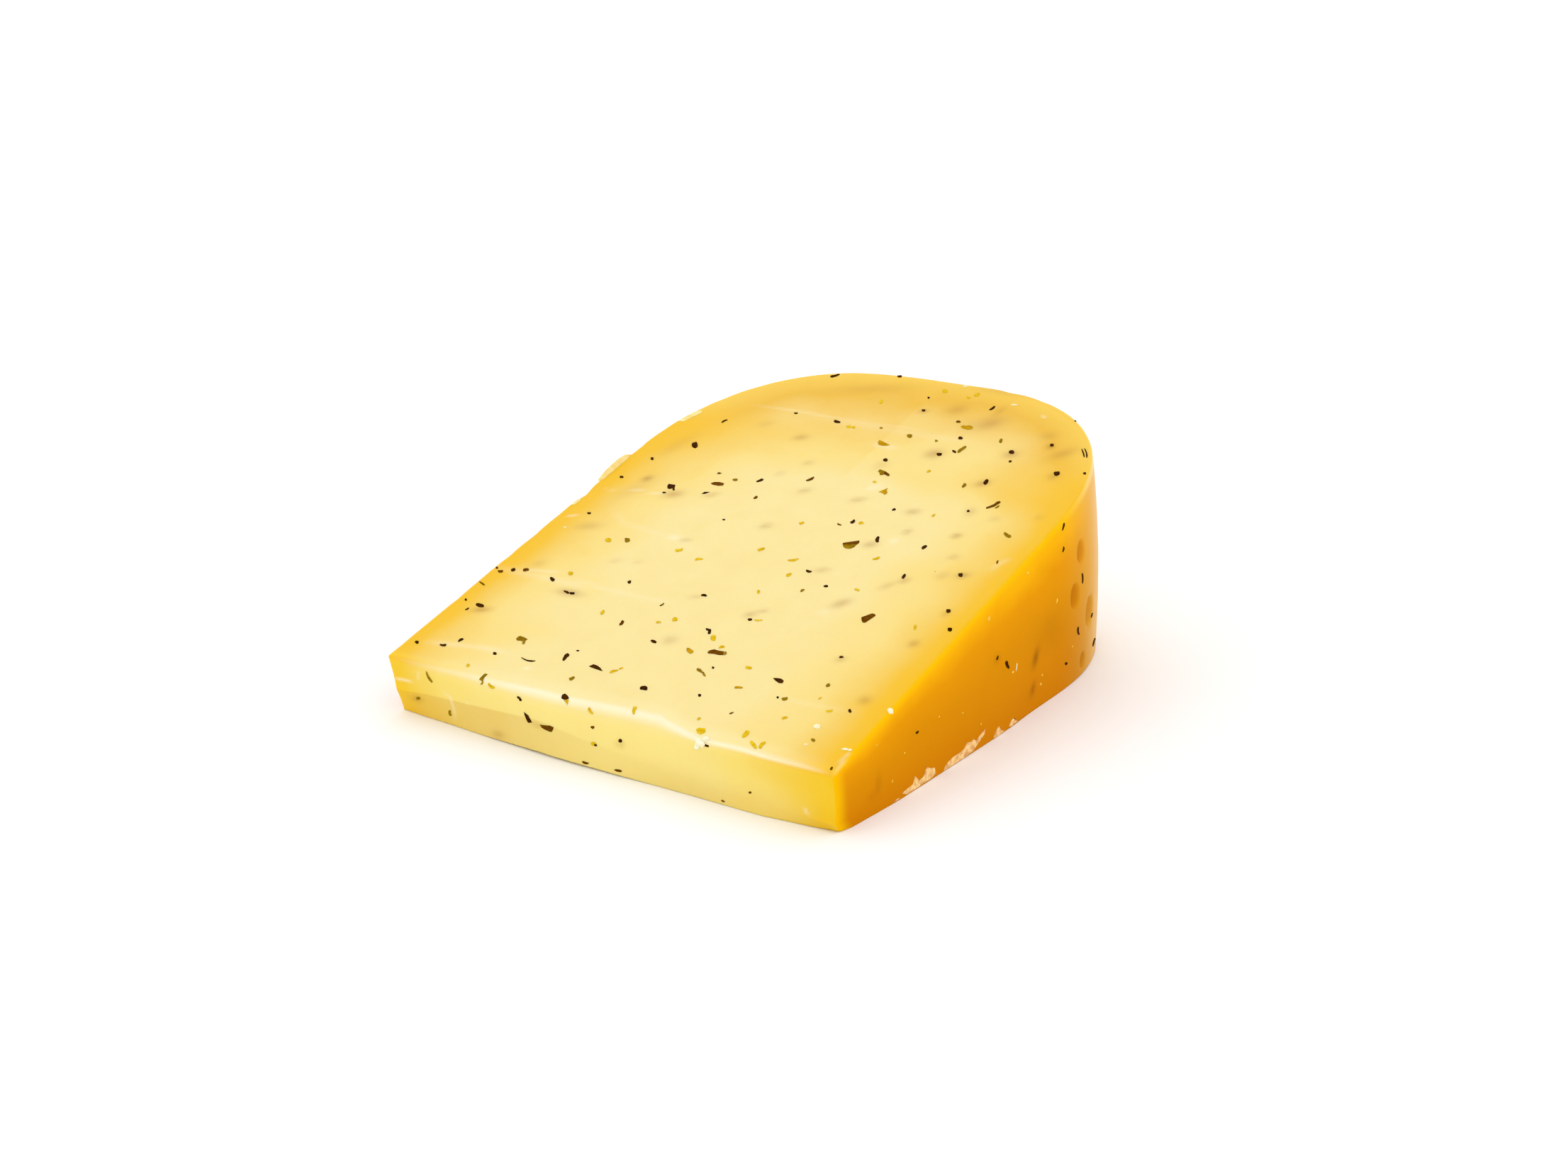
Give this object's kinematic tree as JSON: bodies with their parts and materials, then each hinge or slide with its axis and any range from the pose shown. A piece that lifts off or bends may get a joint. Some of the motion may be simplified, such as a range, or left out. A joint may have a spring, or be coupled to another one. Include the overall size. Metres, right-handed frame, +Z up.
{
  "type": "cheese wedge",
  "caption": "Wedge of semi-hard herb cheese with an orange rind, cut from a round wheel, its thin tip cut off, lying on one cut face.",
  "frame": {"origin": "middle of the bounding box, on the ground that the wedge lies on", "axes": "+Z up; +Y from the cut-off tip to the rim; X across the wheel's thickness, along the wheel's axis"},
  "size_m": [0.1116, 0.1416, 0.0538],
  "materials": {
    "cheese": "moist satin paste on the cut faces, smooth waxy orange rind on the flanks and the rim"
  },
  "bodies": {
    "root": {"cheese_wedge": "cheese"}
  },
  "joints": []
}
